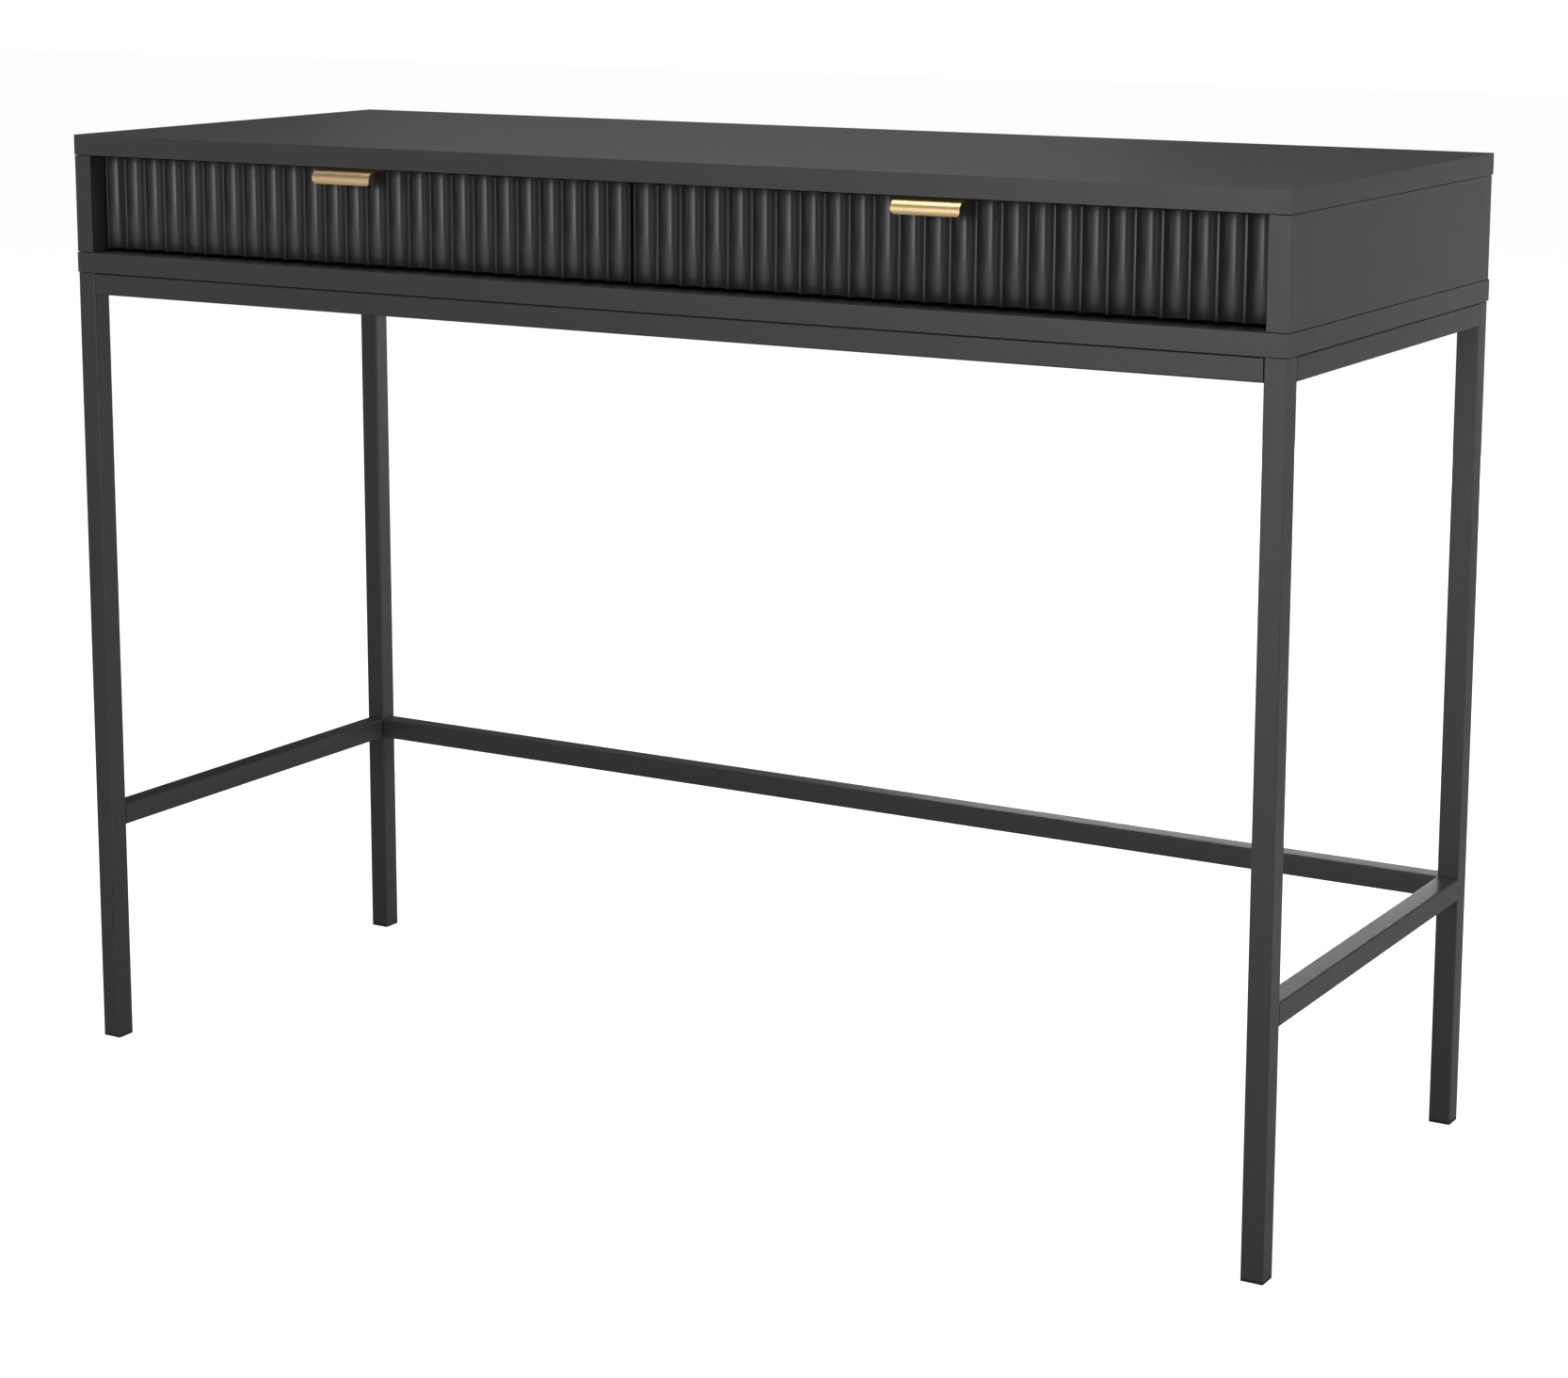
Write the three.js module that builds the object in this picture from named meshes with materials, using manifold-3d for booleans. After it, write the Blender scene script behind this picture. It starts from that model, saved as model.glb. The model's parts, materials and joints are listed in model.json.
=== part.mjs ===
// A writing desk with two fluted drawers: a shallow box of 16 mm boards on a square-tube frame.
// Units are millimetres, +Z is up, the user sits at -Y and +X is to the user's right.
// The origin is on the floor, at the centre of the desk's footprint.

import * as THREE from 'three';
import { mergeVertices } from 'three/addons/utils/BufferGeometryUtils.js';
import Module from 'manifold-3d';

const wasm = await Module();
wasm.setup();

// ---------------------------------------------------------------- driving dimensions

const DESK_WIDTH = 1040;
const DESK_DEPTH = 390;
const DESK_HEIGHT = 750;
const BOARD = 16;
const OPENING_HEIGHT = 78;        // between the top and bottom boards
const SEAM = 0.4;                 // shadow line where boards and frame meet
const FIT = 0.3;                  // gap between two pieces that only touch
const CLEARANCE = 0.15;           // around a screw in its hole, and a panel in its groove

const SIDE_FRONT_INSET = 0.4;     // side boards and legs stand this far behind the desktop's edge
const SIDE_BACK_INSET = 2.5;
const SIDE_OUTER_INSET = 0.2;

const TUBE = 17;
const TUBE_WALL = 1.2;
const TUBE_CORNER = 1.2;
const LOWER_RAIL_Z = 180;         // underside of the low side rails and of the rear stretcher
const FOOT_FLANGE = 1.6;
const FOOT_DEPTH = 14;

const BACK_PANEL = 3;
const BACK_PANEL_SETBACK = 8;     // from the side boards' back edge
const GROOVE_DEPTH = 6;

const FRONT_RECESS = 16;          // the fluted fronts stand back from the desk's front edge
const FRONT_THICKNESS = 18;
const FRONT_BOTTOM_GAP = 2.8;
const FRONT_HEIGHT = 73;
const FRONT_MIDDLE_GAP = 3.3;     // between the two fronts
const FLUTE_COUNT = 25;
const FLUTE_PITCH = 20;
const FLUTE_RADIUS = 10;
const FLUTE_LAND = 2;             // flat crest left between two flutes

const PARTITION_SETBACK = 36;
const DRAWER_LENGTH = 310;
const DRAWER_SIDE = 12;
const DRAWER_HEIGHT = 58;
const DRAWER_LIFT = 8;            // underside of the drawer box above the bottom board
const DRAWER_BOTTOM = 3;
const DRAWER_BOTTOM_LIFT = 8;     // the bottom's groove above the sides' lower edge
const FRONT_GROOVE_DEPTH = 5;

const SLIDE_LENGTH = 300;
const SLIDE_SPACE = 12.7;
const SLIDE_START = 38;           // from the desk's front edge
const SLIDE_SHEET = 1.2;
// web and tip are how far a member's web and the tips of its lips stand from the board beside the drawer.
const CABINET_MEMBER = { web: 0.3, tip: 9.5, height: 35 };
const MIDDLE_MEMBER = { web: 3, tip: 10.8, height: 28.4 };
const DRAWER_MEMBER = { web: 12.4, tip: 5.6, height: 22 };

const PULL_WIDTH = 54;
const PULL_SHEET = 1.2;
const PULL_PROUD = 3;             // the pull's lip stands out past the desk's front edge
const PULL_INNER_RADIUS = 7;
const PULL_CURL = 27.5;           // degrees that the bend goes on past upright
const PULL_CORNER = 3;
const PULL_BACK = 32;             // back edge of the plate, from the desk's front edge
const PULL_SCREW_SPACING = 32;
const PULL_SCREW_BACK = 26.5;

// ---------------------------------------------------------------- derived positions

const HALF_WIDTH = DESK_WIDTH / 2;
const FRONT_Y = -(DESK_DEPTH + PULL_PROUD) / 2 + PULL_PROUD;
const BACK_Y = FRONT_Y + DESK_DEPTH;
const TOP_UNDERSIDE = DESK_HEIGHT - BOARD;
const BOTTOM_TOP = TOP_UNDERSIDE - OPENING_HEIGHT;
const BOTTOM_UNDERSIDE = BOTTOM_TOP - BOARD;
const FRAME_TOP = BOTTOM_UNDERSIDE - SEAM;
const TOP_RAIL_Z = FRAME_TOP - TUBE;

const SIDE_OUTER_X = HALF_WIDTH - SIDE_OUTER_INSET;
const SIDE_INNER_X = HALF_WIDTH - BOARD;
const SIDE_FRONT_Y = FRONT_Y + SIDE_FRONT_INSET;
const SIDE_BACK_Y = BACK_Y - SIDE_BACK_INSET;
const BACK_PANEL_Y = SIDE_BACK_Y - BACK_PANEL_SETBACK - BACK_PANEL;

const FRONT_WIDTH = FLUTE_COUNT * FLUTE_PITCH;
const FRONT_FACE_Y = FRONT_Y + FRONT_RECESS;
const FRONT_REAR_Y = FRONT_FACE_Y + FRONT_THICKNESS;
const FRONT_Z = BOTTOM_TOP + FRONT_BOTTOM_GAP;
const FRONT_TOP_Z = FRONT_Z + FRONT_HEIGHT;
const DRAWER_Z = BOTTOM_TOP + DRAWER_LIFT;
const DRAWER_REAR_Y = FRONT_REAR_Y + DRAWER_LENGTH;
const SLIDE_Z = DRAWER_Z + DRAWER_HEIGHT / 2;

// ---------------------------------------------------------------- materials

const finish = (color, roughness, metalness) => new THREE.MeshStandardMaterial({ color, roughness, metalness });
const BOARD_FINISH = finish(0x434345, 0.6, 0);
const FRONT_FINISH = finish(0x434345, 0.5, 0);
const FRAME_FINISH = finish(0x3e3e40, 0.55, 0.2);
const DRAWER_FINISH = finish(0x6b6c6e, 0.7, 0);
const THIN_PANEL_FINISH = finish(0x5a5b5d, 0.8, 0);
const BRASS_FINISH = finish(0xc9a468, 0.35, 1);
const STEEL_FINISH = finish(0xb4b7ba, 0.35, 1);
const BLACK_SCREW_FINISH = finish(0x1d1d1f, 0.45, 0.6);
const FOOT_FINISH = finish(0x161617, 0.75, 0);

// ---------------------------------------------------------------- shape helpers

const desk = new THREE.Group();

function add(name, geometry, material, parent = desk) {
  const mesh = new THREE.Mesh(geometry, material);
  mesh.name = name;
  parent.add(mesh);
  return mesh;
}

// A box between two corners.
function block([x0, y0, z0], [x1, y1, z1]) {
  const geometry = new THREE.BoxGeometry(x1 - x0, y1 - y0, z1 - z0);
  geometry.translate((x0 + x1) / 2, (y0 + y1) / 2, (z0 + z1) / 2);
  return geometry;
}

function extrude(shape, length, curveSegments = 2) {
  return new THREE.ExtrudeGeometry(shape, { depth: length, bevelEnabled: false, curveSegments });
}

// Turns an extrusion that runs along +Z so that it runs along +X: the shape's x becomes y, its y becomes z.
function alongX(geometry) {
  const turn = new THREE.Matrix4().makeBasis(
    new THREE.Vector3(0, 1, 0),
    new THREE.Vector3(0, 0, 1),
    new THREE.Vector3(1, 0, 0),
  );
  return geometry.applyMatrix4(turn);
}

// Turns an extrusion that runs along +Z so that it runs along +Y: the shape's x becomes z, its y becomes x.
function alongY(geometry) {
  const turn = new THREE.Matrix4().makeBasis(
    new THREE.Vector3(0, 0, 1),
    new THREE.Vector3(1, 0, 0),
    new THREE.Vector3(0, 1, 0),
  );
  return geometry.applyMatrix4(turn);
}

function polygon(points) {
  return new THREE.Shape(points.map(([x, y]) => new THREE.Vector2(x, y)));
}

// A square with rounded corners, centred on the origin.
function roundedSquare(size, radius, path = new THREE.Shape()) {
  const half = size / 2;
  const corner = half - radius;
  path.moveTo(-corner, -half);
  path.lineTo(corner, -half);
  path.absarc(corner, -corner, radius, -Math.PI / 2, 0, false);
  path.lineTo(half, corner);
  path.absarc(corner, corner, radius, 0, Math.PI / 2, false);
  path.lineTo(-corner, half);
  path.absarc(-corner, corner, radius, Math.PI / 2, Math.PI, false);
  path.lineTo(-half, -corner);
  path.absarc(-corner, -corner, radius, Math.PI, 1.5 * Math.PI, false);
  return path;
}

function toManifold(source) {
  const bare = source.clone();
  bare.deleteAttribute('normal');
  bare.deleteAttribute('uv');
  const welded = mergeVertices(bare, 1e-4);
  const mesh = new wasm.Mesh({
    numProp: 3,
    vertProperties: new Float32Array(welded.attributes.position.array),
    triVerts: new Uint32Array(welded.index.array),
  });
  return new wasm.Manifold(mesh);
}

function toGeometry(manifold) {
  const { vertProperties, triVerts } = manifold.getMesh();
  const geometry = new THREE.BufferGeometry();
  geometry.setAttribute('position', new THREE.BufferAttribute(new Float32Array(vertProperties), 3));
  geometry.setIndex(new THREE.BufferAttribute(new Uint32Array(triVerts), 1));
  geometry.computeVertexNormals();
  return geometry;
}

function cut(source, ...cutters) {
  return toGeometry(cutters.reduce((left, cutter) => left.subtract(toManifold(cutter)), toManifold(source)));
}

function join(source, ...others) {
  return toGeometry(others.reduce((whole, other) => whole.add(toManifold(other)), toManifold(source)));
}

// A turned piece from a profile of [radius, height] points, standing on +Z.
function turned(profile, sides = 14) {
  const lathe = new THREE.LatheGeometry(profile.map(([r, z]) => new THREE.Vector2(r, z)), sides);
  return lathe.rotateX(Math.PI / 2);
}

// ---------------------------------------------------------------- screws

// A button-head screw driven upwards: z 0 is the face its head bears on. Grow it for a clearance hole.
function upwardBolt({ headRadius, headHeight, shankRadius, shankLength }, grow = 0) {
  const crownRadius = headRadius * 0.55;
  const shoulderRadius = headRadius * 0.88;
  const shoulderHeight = headHeight * 0.6;
  const headTop = -FIT / 2;
  const tipChamfer = shankRadius / 2;
  return turned([
    [0, -headHeight - grow],
    [crownRadius + grow, -headHeight - grow],
    [shoulderRadius + grow, -shoulderHeight],
    [headRadius + grow, headTop + grow],
    [shankRadius + grow, headTop + grow],
    [shankRadius + grow, shankLength - tipChamfer + grow],
    [shankRadius - tipChamfer + grow, shankLength + grow],
    [0, shankLength + grow],
  ]);
}

// A countersunk screw driven downwards: z 0 is the flush top of its head.
function sunkScrew({ headRadius, headHeight, shankRadius, length }, grow = 0) {
  const pointLength = shankRadius * 1.4;
  const rimDepth = 0.2;
  return turned([
    [0, -length - grow],
    [shankRadius + grow, pointLength - length - grow],
    [shankRadius + grow, -headHeight - grow],
    [headRadius + grow, -rimDepth],
    [headRadius + grow, grow],
    [0, grow],
  ]);
}

// A headless screw driven upwards: z 0 is the face it stands just inside.
function upwardSetScrew({ radius, length, recess }, grow = 0) {
  const chamfer = 0.5;
  return turned([
    [0, recess - grow],
    [radius - chamfer + grow, recess - grow],
    [radius + grow, recess + chamfer - grow],
    [radius + grow, length - chamfer + grow],
    [radius - chamfer + grow, length + grow],
    [0, length + grow],
  ]);
}

const RAIL_SCREW = { radius: 3, length: 8, recess: 0.2 };
const BOX_SCREW = { headRadius: 5.2, headHeight: 3.2, shankRadius: 2.5, shankLength: TUBE_WALL + SEAM + 12 };
const PULL_SCREW = { headRadius: 3.2, headHeight: 1.9, shankRadius: 1.5, length: 15 };

// ---------------------------------------------------------------- the box of boards

function buildBox() {
  const box = new THREE.Group();
  desk.add(box);

  const frontLeft = [-HALF_WIDTH, FRONT_Y];
  const backRight = [HALF_WIDTH, BACK_Y];
  const topPanel = block([...frontLeft, TOP_UNDERSIDE], [...backRight, DESK_HEIGHT]);
  add('top_panel', topPanel, BOARD_FINISH, box);

  const pilotHoles = boxScrewPlaces().map(([x, y]) => {
    return upwardBolt(BOX_SCREW, CLEARANCE).translate(x, y, BOX_SCREW_Z);
  });
  const bottomPanel = block([...frontLeft, BOTTOM_UNDERSIDE], [...backRight, BOTTOM_TOP]);
  add('bottom_panel', cut(bottomPanel, ...pilotHoles), BOARD_FINISH, box);

  for (const [name, side] of [['left_side_panel', -1], ['right_side_panel', 1]]) {
    add(name, sidePanel(side), BOARD_FINISH, box);
  }

  const partition = block(
    [-BOARD / 2, FRONT_Y + PARTITION_SETBACK, BOTTOM_TOP + SEAM],
    [BOARD / 2, BACK_PANEL_Y - FIT, TOP_UNDERSIDE - SEAM],
  );
  add('centre_partition', partition, BOARD_FINISH, box);

  const tongue = SIDE_INNER_X + GROOVE_DEPTH - FIT;
  const backPanel = block(
    [-tongue, BACK_PANEL_Y, BOTTOM_TOP + SEAM],
    [tongue, BACK_PANEL_Y + BACK_PANEL, TOP_UNDERSIDE - SEAM],
  );
  add('back_panel', backPanel, THIN_PANEL_FINISH, box);
}

// An upright side board with a groove near its back edge that holds the back panel.
function sidePanel(side) {
  const outer = side * SIDE_OUTER_X;
  const inner = side * SIDE_INNER_X;
  const grooveFloor = side * (SIDE_INNER_X + GROOVE_DEPTH);
  const grooveFront = BACK_PANEL_Y - CLEARANCE;
  const grooveBack = BACK_PANEL_Y + BACK_PANEL + CLEARANCE;
  const outline = polygon([
    [outer, SIDE_FRONT_Y],
    [inner, SIDE_FRONT_Y],
    [inner, grooveFront],
    [grooveFloor, grooveFront],
    [grooveFloor, grooveBack],
    [inner, grooveBack],
    [inner, SIDE_BACK_Y],
    [outer, SIDE_BACK_Y],
  ]);
  return extrude(outline, OPENING_HEIGHT - 2 * SEAM).translate(0, 0, BOTTOM_TOP + SEAM);
}

// ---------------------------------------------------------------- the tube frame

const LEG_X = SIDE_OUTER_X - TUBE / 2;
const FRONT_LEG_Y = SIDE_FRONT_Y + TUBE / 2;
const BACK_LEG_Y = SIDE_BACK_Y - TUBE / 2;
const TOP_RAIL_CENTRE_Z = TOP_RAIL_Z + TUBE / 2;
const LOWER_RAIL_CENTRE_Z = LOWER_RAIL_Z + TUBE / 2;
const WELD_GAP = 0.1;
const SPIGOT = TUBE - 2 * TUBE_WALL - 2 * FIT;
const SPIGOT_WALL = 2;
const SPIGOT_LENGTH = 28;
const RAIL_SCREW_FROM_LEG = 15;
const BOX_SCREW_Z = FRAME_TOP - TUBE_WALL;    // a box screw's head bears on the inside of the rail's top wall
const ACCESS_HOLE_RADIUS = 6;                 // in the rail's bottom wall, below each box screw

function tube(length) {
  const outline = roundedSquare(TUBE, TUBE_CORNER);
  outline.holes.push(roundedSquare(TUBE - 2 * TUBE_WALL, TUBE_CORNER / 2, new THREE.Path()));
  return extrude(outline, length);
}

// The short square stub, welded to a leg's inner face, that a cross rail slides over.
function spigot(side, y, z) {
  const outline = roundedSquare(SPIGOT, TUBE_CORNER / 2);
  outline.holes.push(roundedSquare(SPIGOT - 2 * SPIGOT_WALL, TUBE_CORNER / 2, new THREE.Path()));
  const rootX = LEG_X - TUBE / 2 + TUBE_WALL / 2;
  const stub = alongX(extrude(outline, SPIGOT_LENGTH)).translate(rootX - SPIGOT_LENGTH, y, z);
  return side > 0 ? stub : stub.translate(-(2 * rootX - SPIGOT_LENGTH), 0, 0);
}

// One leg, with a spigot at each height where a cross rail meets it.
function leg(side, y, spigotHeights) {
  const post = tube(FRAME_TOP - FOOT_FLANGE - FIT).translate(side * LEG_X, y, FOOT_FLANGE + FIT);
  const stubs = spigotHeights.map((z) => spigot(side, y, z));
  const screwHoles = spigotHeights.map((z) => railScrew(side, y, z, CLEARANCE));
  return cut(join(post, ...stubs), ...screwHoles);
}

// The set screw under one end of a cross rail whose middle is at height z.
function railScrew(side, y, z, grow = 0) {
  const x = side * (LEG_X - TUBE / 2 - RAIL_SCREW_FROM_LEG);
  return upwardSetScrew(RAIL_SCREW, grow).translate(x, y, z - TUBE / 2);
}

// A rail from the left legs to the right legs, slid over their spigots and fixed from below.
function crossRail(y, z) {
  const halfLength = LEG_X - TUBE / 2 - FIT;
  const rail = alongX(tube(2 * halfLength)).translate(-halfLength, y, z);
  const past = RAIL_SCREW.recess + CLEARANCE;
  const holes = [-1, 1].map((side) => railScrew(side, y, z, CLEARANCE));
  const mouths = [-1, 1].map((side) => railScrew(side, y, z, CLEARANCE).translate(0, 0, -past));
  return cut(rail, ...holes, ...mouths);
}

// A rail welded between the front and back legs of one side.
function sideRail(side, z) {
  const start = FRONT_LEG_Y + TUBE / 2 + WELD_GAP;
  const end = BACK_LEG_Y - TUBE / 2 - WELD_GAP;
  return alongY(tube(end - start)).translate(side * LEG_X, start, z);
}

// What the hole in a side rail's bottom wall takes away, so that a screwdriver reaches the box screw.
function accessHole(x, y) {
  const past = 1;
  const bore = turned([
    [0, -past],
    [ACCESS_HOLE_RADIUS, -past],
    [ACCESS_HOLE_RADIUS, TUBE_WALL + past],
    [0, TUBE_WALL + past],
  ]);
  return bore.translate(x, y, TOP_RAIL_Z);
}

function boxScrewPlaces() {
  const spacing = 120;
  return [-1, 1].flatMap((side) => [-spacing, spacing].map((y) => [side * LEG_X, y]));
}

// A plastic glide pressed into a leg's open end: a flange on the floor and a ribless stem inside.
function footPlug() {
  const stemSize = TUBE - 2 * TUBE_WALL - 2 * CLEARANCE;
  const flange = extrude(roundedSquare(TUBE, TUBE_CORNER), FOOT_FLANGE);
  const stem = extrude(roundedSquare(stemSize, TUBE_CORNER / 2), FOOT_DEPTH);
  return join(flange, stem);
}

function buildFrame() {
  const frame = new THREE.Group();
  desk.add(frame);
  const sides = [['left', -1], ['right', 1]];

  for (const [sideName, side] of sides) {
    const frontLeg = leg(side, FRONT_LEG_Y, [TOP_RAIL_CENTRE_Z]);
    const backLeg = leg(side, BACK_LEG_Y, [TOP_RAIL_CENTRE_Z, LOWER_RAIL_CENTRE_Z]);
    add(`front_${sideName}_leg`, frontLeg, FRAME_FINISH, frame);
    add(`back_${sideName}_leg`, backLeg, FRAME_FINISH, frame);

    const screwHoles = boxScrewPlaces()
      .filter(([x]) => x * side > 0)
      .flatMap(([x, y]) => [
        upwardBolt(BOX_SCREW, CLEARANCE).translate(x, y, BOX_SCREW_Z),
        accessHole(x, y),
      ]);
    add(`${sideName}_top_rail`, cut(sideRail(side, TOP_RAIL_CENTRE_Z), ...screwHoles), FRAME_FINISH, frame);
    add(`${sideName}_lower_rail`, sideRail(side, LOWER_RAIL_CENTRE_Z), FRAME_FINISH, frame);

    for (const [endName, y] of [['front', FRONT_LEG_Y], ['back', BACK_LEG_Y]]) {
      const foot = add(`${endName}_${sideName}_foot_plug`, footPlug(), FOOT_FINISH, frame);
      foot.position.set(side * LEG_X, y, 0);
    }
  }

  const crossRails = [
    ['front_rail', FRONT_LEG_Y, TOP_RAIL_CENTRE_Z],
    ['rear_rail', BACK_LEG_Y, TOP_RAIL_CENTRE_Z],
    ['rear_stretcher', BACK_LEG_Y, LOWER_RAIL_CENTRE_Z],
  ];
  for (const [name, y, z] of crossRails) {
    add(name, crossRail(y, z), FRAME_FINISH, frame);
    for (const [sideName, side] of sides) {
      add(`${name}_${sideName}_set_screw`, railScrew(side, y, z), BLACK_SCREW_FINISH, frame);
    }
  }

  for (const [x, y] of boxScrewPlaces()) {
    const place = `${y < 0 ? 'front' : 'back'}_${x < 0 ? 'left' : 'right'}`;
    add(`${place}_box_screw`, upwardBolt(BOX_SCREW).translate(x, y, BOX_SCREW_Z), BLACK_SCREW_FINISH, frame);
  }
}

// ---------------------------------------------------------------- the drawers

// The front's plan, with its left end at x 0 and its crests on y 0. Each flute is an arc of one cutter.
function flutedOutline() {
  const halfChord = (FLUTE_PITCH - FLUTE_LAND) / 2;
  const centreY = -Math.sqrt(FLUTE_RADIUS ** 2 - halfChord ** 2);
  const edgeAngle = Math.atan2(-centreY, halfChord);
  const outline = new THREE.Shape();
  outline.moveTo(0, FRONT_THICKNESS);
  outline.lineTo(0, 0);
  for (let flute = 0; flute < FLUTE_COUNT; flute += 1) {
    const centreX = (flute + 0.5) * FLUTE_PITCH;
    outline.lineTo(centreX - halfChord, 0);
    outline.absarc(centreX, centreY, FLUTE_RADIUS, Math.PI - edgeAngle, edgeAngle, true);
  }
  outline.lineTo(FRONT_WIDTH, 0);
  outline.lineTo(FRONT_WIDTH, FRONT_THICKNESS);
  return outline;
}

function drawerFront(leftX, pullScrews) {
  const fluteSegments = 4;
  const board = extrude(flutedOutline(), FRONT_HEIGHT, fluteSegments).translate(leftX, FRONT_FACE_Y, FRONT_Z);
  const grooveZ = DRAWER_Z + DRAWER_BOTTOM_LIFT;
  const centre = leftX + FRONT_WIDTH / 2;
  const half = (FRONT_WIDTH - 2 * SLIDE_SPACE) / 2;
  const groove = block(
    [centre - half, FRONT_REAR_Y - FRONT_GROOVE_DEPTH, grooveZ - CLEARANCE],
    [centre + half, FRONT_REAR_Y + 1, grooveZ + DRAWER_BOTTOM + CLEARANCE],
  );
  return cut(board, groove, ...pullScrews.map((place) => pullScrew(place, CLEARANCE)));
}

// A side board whose groove, on its inner face, holds the drawer's bottom. inward is the way the groove faces.
function drawerSide(outerX, inward) {
  const x = (depth) => outerX + inward * depth;
  const grooveLow = DRAWER_BOTTOM_LIFT - CLEARANCE;
  const grooveHigh = DRAWER_BOTTOM_LIFT + DRAWER_BOTTOM + CLEARANCE;
  const outline = polygon([
    [0, x(0)],
    [DRAWER_HEIGHT, x(0)],
    [DRAWER_HEIGHT, x(DRAWER_SIDE)],
    [grooveHigh, x(DRAWER_SIDE)],
    [grooveHigh, x(DRAWER_SIDE - GROOVE_DEPTH)],
    [grooveLow, x(DRAWER_SIDE - GROOVE_DEPTH)],
    [grooveLow, x(DRAWER_SIDE)],
    [0, x(DRAWER_SIDE)],
  ]);
  return alongY(extrude(outline, DRAWER_LENGTH - FIT)).translate(0, FRONT_REAR_Y + FIT, DRAWER_Z);
}

const PULL_OUTER_RADIUS = PULL_INNER_RADIUS + PULL_SHEET;
const PULL_TIP_ANGLE = THREE.MathUtils.degToRad(180 + PULL_CURL);
const PULL_PLATE_Z = FRONT_TOP_Z + CLEARANCE;
const PULL_TOP_Z = PULL_PLATE_Z + PULL_SHEET;
const PULL_BEND_Z = PULL_TOP_Z - PULL_OUTER_RADIUS;
const PULL_BOTTOM_Z = PULL_BEND_Z + PULL_OUTER_RADIUS * Math.sin(PULL_TIP_ANGLE);

// The pull's section, seen from its right end: a flat plate and a lip that bends down and a little back.
// x runs towards the back from the bend's foremost point, y is height above the bend's centre.
function pullSection() {
  const plateEnd = PULL_BACK + PULL_PROUD;
  const section = new THREE.Shape();
  section.absarc(PULL_OUTER_RADIUS, 0, PULL_INNER_RADIUS, PULL_TIP_ANGLE, Math.PI / 2, true);
  section.lineTo(plateEnd, PULL_INNER_RADIUS);
  section.lineTo(plateEnd, PULL_OUTER_RADIUS);
  section.absarc(PULL_OUTER_RADIUS, 0, PULL_OUTER_RADIUS, Math.PI / 2, PULL_TIP_ANGLE, false);
  return section;
}

function pull(centreX, pullScrews) {
  const bendSegments = 6;
  const bar = alongX(extrude(pullSection(), PULL_WIDTH, bendSegments));
  bar.translate(centreX - PULL_WIDTH / 2, FRONT_Y - PULL_PROUD, PULL_BEND_Z);
  const corners = [-1, 1].map((end) => lipCorner(centreX + end * PULL_WIDTH / 2, end));
  return cut(bar, ...corners, ...pullScrews.map((place) => pullScrew(place, CLEARANCE)));
}

// What is cut away to round one lower corner of the pull's lip.
function lipCorner(cornerX, end) {
  const past = 1;
  const x = (depth) => cornerX - end * depth;
  const z = (height) => PULL_BOTTOM_Z + height;
  const centre = [x(PULL_CORNER), z(PULL_CORNER)];
  const steps = 6;
  const arc = Array.from({ length: steps + 1 }, (_, step) => {
    const angle = (step / steps) * Math.PI / 2;
    return [centre[0] + end * PULL_CORNER * Math.cos(angle), centre[1] - PULL_CORNER * Math.sin(angle)];
  });
  const outline = [...arc, [x(PULL_CORNER), z(-past)], [x(-past), z(-past)], [x(-past), z(PULL_CORNER)]];
  const zFirst = polygon(outline.map(([px, pz]) => [pz, px]));
  return alongY(extrude(zFirst, PULL_OUTER_RADIUS + past)).translate(0, FRONT_Y - PULL_PROUD - past, 0);
}

function pullScrew([x, y], grow = 0) {
  return sunkScrew(PULL_SCREW, grow).translate(x, y, PULL_TOP_Z);
}

function buildDrawer(name, side) {
  const drawer = new THREE.Group();
  desk.add(drawer);

  const frontLeftX = side < 0 ? -FRONT_MIDDLE_GAP / 2 - FRONT_WIDTH : FRONT_MIDDLE_GAP / 2;
  const pullX = frontLeftX + FRONT_WIDTH / 2;
  const screws = [-1, 1].map((end) => [pullX + end * PULL_SCREW_SPACING / 2, FRONT_Y + PULL_SCREW_BACK]);
  add(`${name}_front`, drawerFront(frontLeftX, screws), FRONT_FINISH, drawer);
  add(`${name}_pull`, pull(pullX, screws), BRASS_FINISH, drawer);
  add(`${name}_pull_left_screw`, pullScrew(screws[0]), BRASS_FINISH, drawer);
  add(`${name}_pull_right_screw`, pullScrew(screws[1]), BRASS_FINISH, drawer);

  const walls = side < 0 ? [-SIDE_INNER_X, -BOARD / 2] : [BOARD / 2, SIDE_INNER_X];
  const outerLeft = walls[0] + SLIDE_SPACE;
  const outerRight = walls[1] - SLIDE_SPACE;
  add(`${name}_left_side`, drawerSide(outerLeft, 1), DRAWER_FINISH, drawer);
  add(`${name}_right_side`, drawerSide(outerRight, -1), DRAWER_FINISH, drawer);

  const bottomZ = DRAWER_Z + DRAWER_BOTTOM_LIFT;
  const tongue = DRAWER_SIDE - GROOVE_DEPTH + FIT;
  const bottom = block(
    [outerLeft + tongue, FRONT_REAR_Y - FRONT_GROOVE_DEPTH + FIT, bottomZ],
    [outerRight - tongue, DRAWER_REAR_Y, bottomZ + DRAWER_BOTTOM],
  );
  add(`${name}_bottom`, bottom, THIN_PANEL_FINISH, drawer);

  const back = block(
    [outerLeft + DRAWER_SIDE + FIT, DRAWER_REAR_Y - DRAWER_SIDE, bottomZ + DRAWER_BOTTOM + FIT],
    [outerRight - DRAWER_SIDE - FIT, DRAWER_REAR_Y, DRAWER_Z + DRAWER_HEIGHT],
  );
  add(`${name}_back`, back, DRAWER_FINISH, drawer);

  buildSlide(`${name}_left_slide`, walls[0], 1);
  buildSlide(`${name}_right_slide`, walls[1], -1);
}

// ---------------------------------------------------------------- ball-bearing slides

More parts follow.
